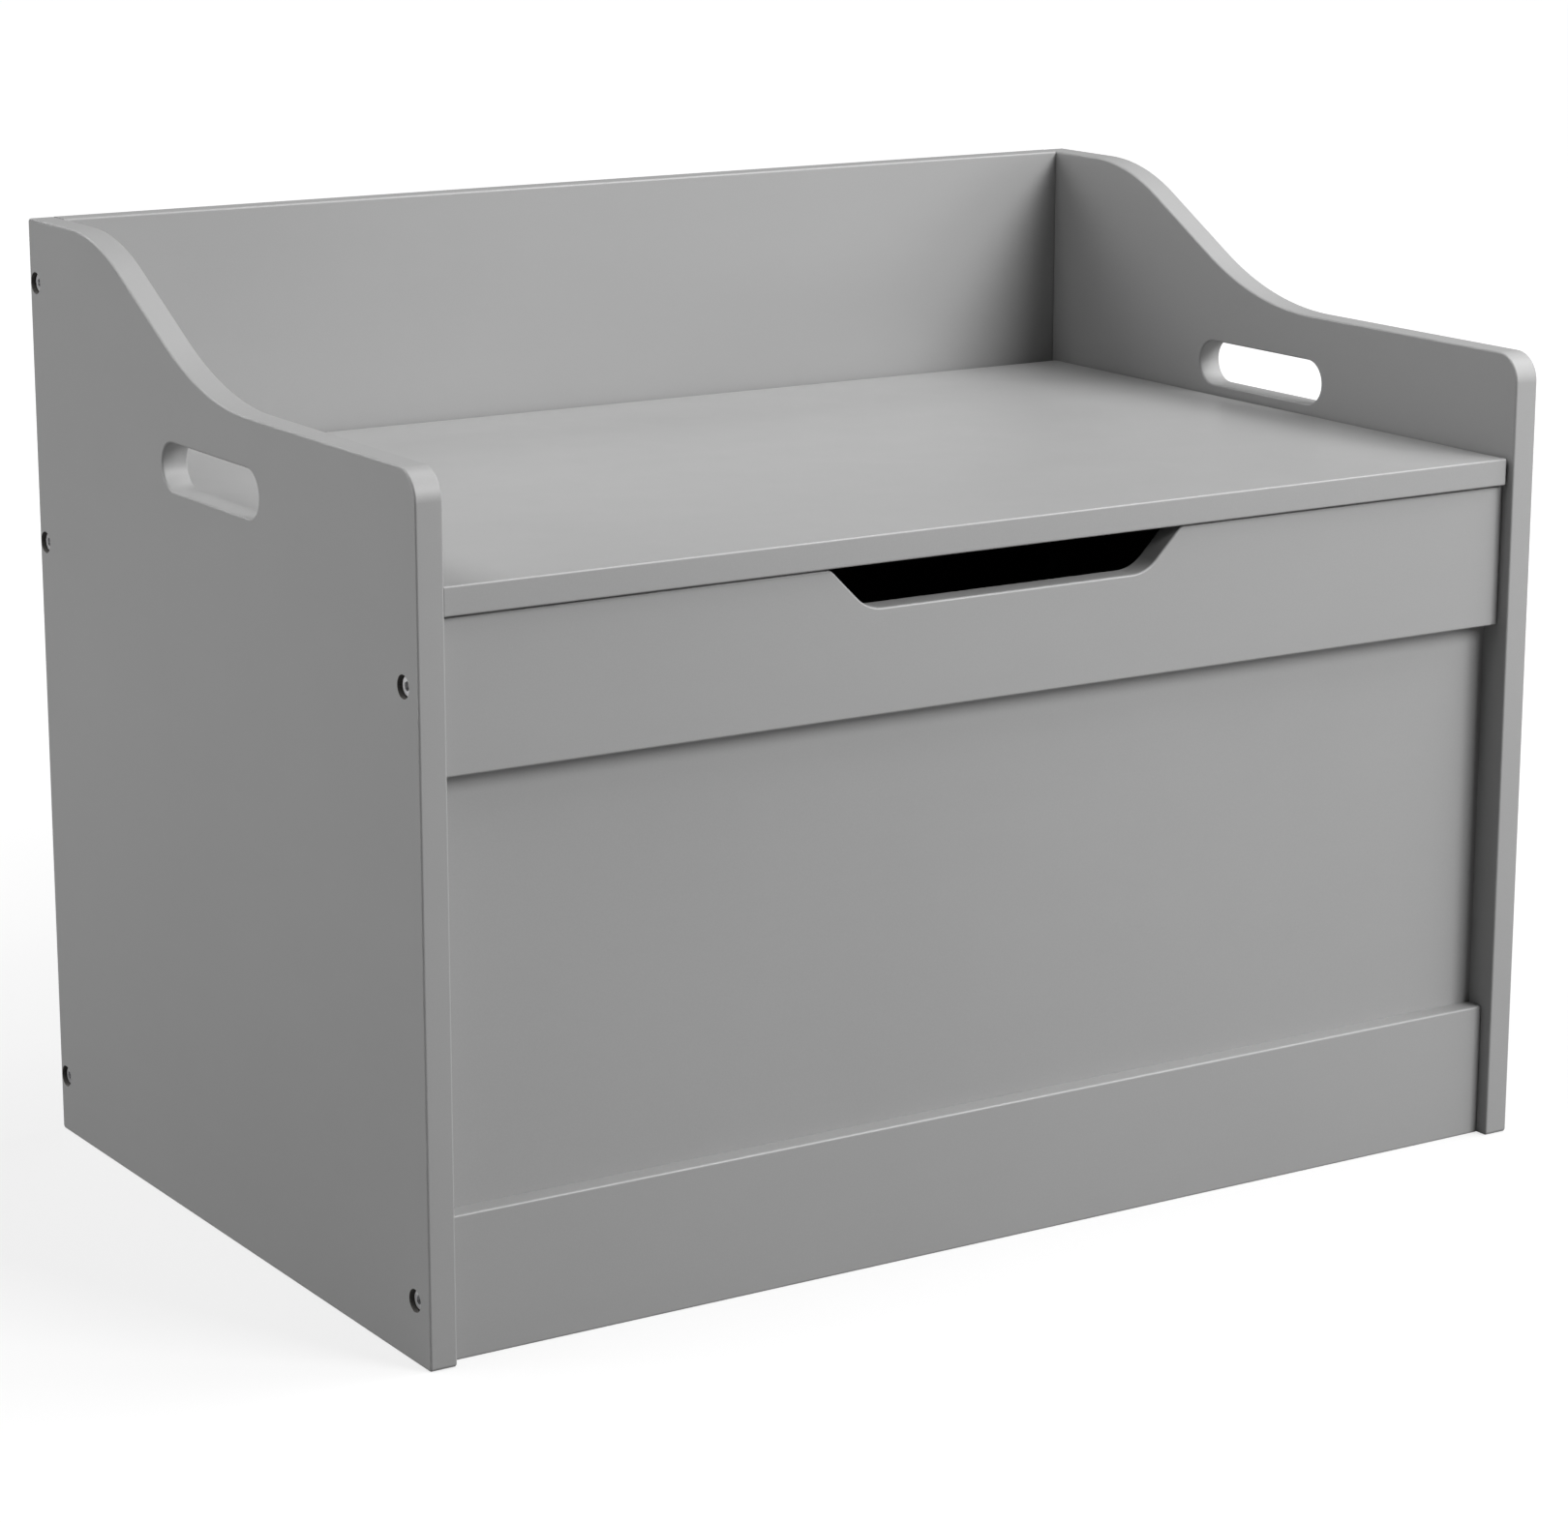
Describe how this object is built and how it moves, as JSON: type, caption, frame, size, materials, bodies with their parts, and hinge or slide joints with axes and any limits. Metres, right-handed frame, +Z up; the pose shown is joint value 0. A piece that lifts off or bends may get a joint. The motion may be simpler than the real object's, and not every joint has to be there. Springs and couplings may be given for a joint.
{
  "type": "toy box",
  "caption": "Grey wooden toy box and bench: hinged lid with folding stays, low backrest, handle slots in both sides and a finger notch under the lid.",
  "frame": {"origin": "on the floor under the middle of the box, the bottom centre of its bounding box", "axes": "+X to the right-hand side panel, seen from the front; -Y to the front; +Z up"},
  "size_m": [0.7, 0.45, 0.525],
  "materials": {
    "painted_board": "satin grey paint on fibreboard",
    "painted_panel": "satin grey paint on thin fibreboard",
    "connector_screw": "dull zinc plating",
    "dowel": "plain beech",
    "hinge_bush": "matt nylon",
    "bumper": "matt rubber",
    "hinge_pin": "turned steel",
    "stay_steel": "zinc-plated pressed steel",
    "wood_screw": "bright zinc plating",
    "rivet": "bright steel"
  },
  "bodies": {
    "carcass": {"left_side_panel": "painted_board", "right_side_panel": "painted_board", "front_upper_rail": "painted_board", "front_lower_rail": "painted_board", "front_infill_panel": "painted_panel", "backrest_board": "painted_board", "back_lower_rail": "painted_board", "back_infill_panel": "painted_panel", "bottom_panel": "painted_panel", "left_connector_screws": "connector_screw", "right_connector_screws": "connector_screw", "left_dowels": "dowel", "right_dowels": "dowel", "left_hinge_bush": "hinge_bush", "right_hinge_bush": "hinge_bush", "lid_bumpers": "bumper", "left_stay_side_bracket": "stay_steel", "right_stay_side_bracket": "stay_steel", "left_stay_side_screws": "wood_screw", "right_stay_side_screws": "wood_screw", "left_stay_base_rivet": "rivet", "right_stay_base_rivet": "rivet"},
    "lid": {"lid_panel": "painted_board", "left_hinge_pin": "hinge_pin", "right_hinge_pin": "hinge_pin", "left_stay_lid_bracket": "stay_steel", "right_stay_lid_bracket": "stay_steel", "left_stay_lid_screws": "wood_screw", "right_stay_lid_screws": "wood_screw", "left_stay_lid_rivet": "rivet", "right_stay_lid_rivet": "rivet"},
    "left_stay_arm": {"left_stay_arm": "stay_steel", "left_stay_elbow_rivet": "rivet"},
    "left_stay_link": {"left_stay_link": "stay_steel"},
    "right_stay_arm": {"right_stay_arm": "stay_steel", "right_stay_elbow_rivet": "rivet"},
    "right_stay_link": {"right_stay_link": "stay_steel"}
  },
  "joints": [
    {"name": "lid_hinge", "type": "hinge", "parent": "carcass", "child": "lid", "pos_m": [0, 0.201, 0.3865], "axis": [-1, 0, 0], "range_deg": [0, 90]},
    {"name": "left_stay_arm_pivot", "type": "hinge", "parent": "carcass", "child": "left_stay_arm", "pos_m": [-0.3305, 0.161, 0.3165], "axis": [-1, 0, 0], "range_deg": [0, 90]},
    {"name": "left_stay_elbow", "type": "hinge", "parent": "left_stay_arm", "child": "left_stay_link", "pos_m": [-0.327, 0.011, 0.2945], "axis": [-1, 0, 0], "range_deg": [-90, 0]},
    {"name": "right_stay_arm_pivot", "type": "hinge", "parent": "carcass", "child": "right_stay_arm", "pos_m": [0.3305, 0.161, 0.3165], "axis": [-1, 0, 0], "range_deg": [0, 90]},
    {"name": "right_stay_elbow", "type": "hinge", "parent": "right_stay_arm", "child": "right_stay_link", "pos_m": [0.327, 0.011, 0.2945], "axis": [-1, 0, 0], "range_deg": [-90, 0]}
  ],
  "couplings": [
    {"joint": "left_stay_arm_pivot", "follows": "lid_hinge", "ratio": 1},
    {"joint": "left_stay_elbow", "follows": "lid_hinge", "ratio": -1},
    {"joint": "right_stay_arm_pivot", "follows": "lid_hinge", "ratio": 1},
    {"joint": "right_stay_elbow", "follows": "lid_hinge", "ratio": -1}
  ]
}
